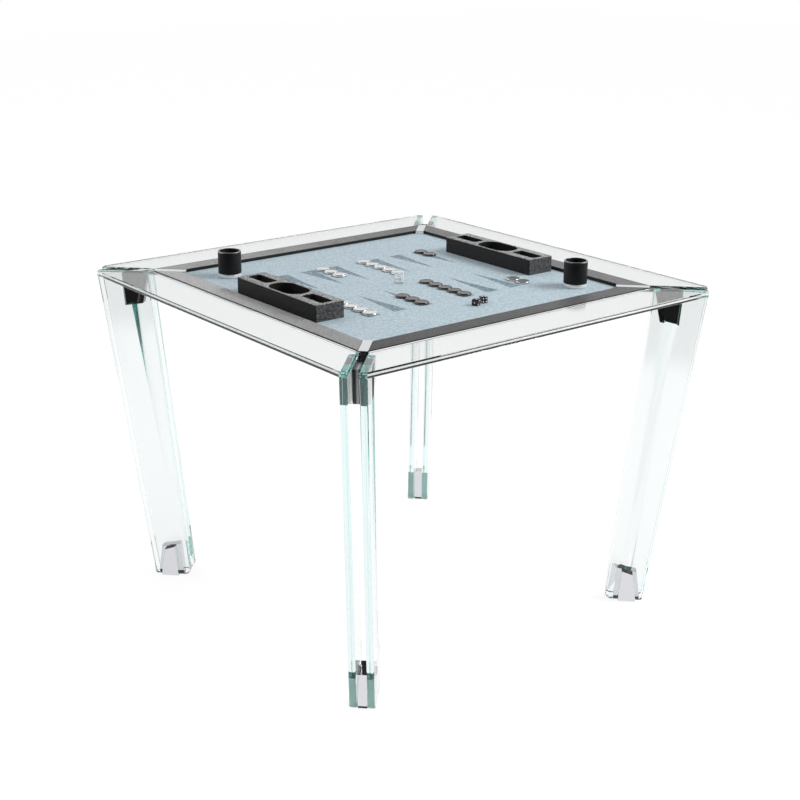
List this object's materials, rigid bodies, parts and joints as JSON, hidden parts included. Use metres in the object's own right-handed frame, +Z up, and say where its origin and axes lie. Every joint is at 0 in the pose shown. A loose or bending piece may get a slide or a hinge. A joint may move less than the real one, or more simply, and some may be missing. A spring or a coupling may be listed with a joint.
{
  "type": "games table",
  "caption": "Square glass games table: clear glass border panels and paired glass leg plates, polished metal joints and a leather playing field with its game pieces.",
  "frame": {"origin": "on the floor under the middle of the table", "axes": "+Z up, -Y towards a player's side, the trays along the X sides"},
  "size_m": [1, 1, 0.8075],
  "materials": {
    "clear_glass": "polished extra-clear glass with ground edges",
    "polished_metal": "mirror polished",
    "black_metal": "satin black",
    "black_pad": "matt bonding pad",
    "black_rubber": "matt",
    "stud_steel": "plain",
    "board_metal": "satin",
    "border_leather": "fine woven grain",
    "field_leather": "pale blue-grey, fine grain",
    "point_leather": "darker blue-grey, textured",
    "tray_leather": "black grained",
    "cup_leather": "black grained",
    "cup_steel": "polished steel",
    "die_black": "gloss black with white pips",
    "clear_crystal": "polished crystal",
    "checker_white": "pearl white, polished",
    "checker_dark": "gunmetal grey, polished"
  },
  "bodies": {
    "table": {"glass_panel_front": "clear_glass", "glass_panel_right": "clear_glass", "glass_panel_back": "clear_glass", "glass_panel_left": "clear_glass", "leg_plate_front_left_left": "clear_glass", "leg_plate_front_left_right": "clear_glass", "leg_bracket_front_left": "black_metal", "corner_bar_front_left": "polished_metal", "foot_block_front_left": "polished_metal", "foot_base_front_left": "polished_metal", "leg_plate_front_right_left": "clear_glass", "leg_plate_front_right_right": "clear_glass", "leg_bracket_front_right": "black_metal", "corner_bar_front_right": "polished_metal", "foot_block_front_right": "polished_metal", "foot_base_front_right": "polished_metal", "leg_plate_back_right_left": "clear_glass", "leg_plate_back_right_right": "clear_glass", "leg_bracket_back_right": "black_metal", "corner_bar_back_right": "polished_metal", "foot_block_back_right": "polished_metal", "foot_base_back_right": "polished_metal", "leg_plate_back_left_left": "clear_glass", "leg_plate_back_left_right": "clear_glass", "leg_bracket_back_left": "black_metal", "corner_bar_back_left": "polished_metal", "foot_block_back_left": "polished_metal", "foot_base_back_left": "polished_metal", "bracket_screws": "black_metal", "bracket_pads": "black_pad", "foot_spacers": "black_rubber", "foot_studs": "stud_steel", "foot_faces": "polished_metal", "base_board": "board_metal", "border_strip_front": "border_leather", "border_strip_right": "border_leather", "border_strip_back": "border_leather", "border_strip_left": "border_leather", "field_leather": "field_leather", "points_dark": "point_leather"},
    "tray_left": {"tray_left": "tray_leather"},
    "tray_right": {"tray_right": "tray_leather"},
    "cup_left": {"cup_left_foot": "cup_steel", "cup_left_body": "cup_leather", "cup_left_rim": "cup_steel"},
    "cup_right": {"cup_right_foot": "cup_steel", "cup_right_body": "cup_leather", "cup_right_rim": "cup_steel"},
    "die_first": {"die_first": "die_black"},
    "die_second": {"die_second": "die_black"},
    "doubling_cube": {"doubling_cube": "clear_crystal"},
    "checkers_dark_back_first": {"checkers_dark_back_first": "checker_dark"},
    "checkers_white_back_fifth": {"checkers_white_back_fifth": "checker_white"},
    "checkers_white_back_seventh": {"checkers_white_back_seventh": "checker_white"},
    "checkers_dark_back_last": {"checkers_dark_back_last": "checker_dark"},
    "checkers_white_front_first": {"checkers_white_front_first": "checker_white"},
    "checkers_dark_front_fifth": {"checkers_dark_front_fifth": "checker_dark"},
    "checkers_dark_front_seventh": {"checkers_dark_front_seventh": "checker_dark"},
    "checkers_white_front_last": {"checkers_white_front_last": "checker_white"}
  },
  "joints": [
    {"name": "tray_left_lift", "type": "slide", "parent": "table", "child": "tray_left", "axis": [0, 0, 1], "range_m": [0, 0.12]},
    {"name": "tray_right_lift", "type": "slide", "parent": "table", "child": "tray_right", "axis": [0, 0, 1], "range_m": [0, 0.12]},
    {"name": "cup_left_lift", "type": "slide", "parent": "table", "child": "cup_left", "axis": [0, 0, 1], "range_m": [0, 0.12]},
    {"name": "cup_right_lift", "type": "slide", "parent": "table", "child": "cup_right", "axis": [0, 0, 1], "range_m": [0, 0.12]},
    {"name": "die_first_lift", "type": "slide", "parent": "table", "child": "die_first", "axis": [0, 0, 1], "range_m": [0, 0.1]},
    {"name": "die_second_lift", "type": "slide", "parent": "table", "child": "die_second", "axis": [0, 0, 1], "range_m": [0, 0.1]},
    {"name": "doubling_cube_lift", "type": "slide", "parent": "table", "child": "doubling_cube", "axis": [0, 0, 1], "range_m": [0, 0.1]},
    {"name": "checkers_dark_back_first_lift", "type": "slide", "parent": "table", "child": "checkers_dark_back_first", "axis": [0, 0, 1], "range_m": [0, 0.08]},
    {"name": "checkers_white_back_fifth_lift", "type": "slide", "parent": "table", "child": "checkers_white_back_fifth", "axis": [0, 0, 1], "range_m": [0, 0.08]},
    {"name": "checkers_white_back_seventh_lift", "type": "slide", "parent": "table", "child": "checkers_white_back_seventh", "axis": [0, 0, 1], "range_m": [0, 0.08]},
    {"name": "checkers_dark_back_last_lift", "type": "slide", "parent": "table", "child": "checkers_dark_back_last", "axis": [0, 0, 1], "range_m": [0, 0.08]},
    {"name": "checkers_white_front_first_lift", "type": "slide", "parent": "table", "child": "checkers_white_front_first", "axis": [0, 0, 1], "range_m": [0, 0.08]},
    {"name": "checkers_dark_front_fifth_lift", "type": "slide", "parent": "table", "child": "checkers_dark_front_fifth", "axis": [0, 0, 1], "range_m": [0, 0.08]},
    {"name": "checkers_dark_front_seventh_lift", "type": "slide", "parent": "table", "child": "checkers_dark_front_seventh", "axis": [0, 0, 1], "range_m": [0, 0.08]},
    {"name": "checkers_white_front_last_lift", "type": "slide", "parent": "table", "child": "checkers_white_front_last", "axis": [0, 0, 1], "range_m": [0, 0.08]}
  ]
}
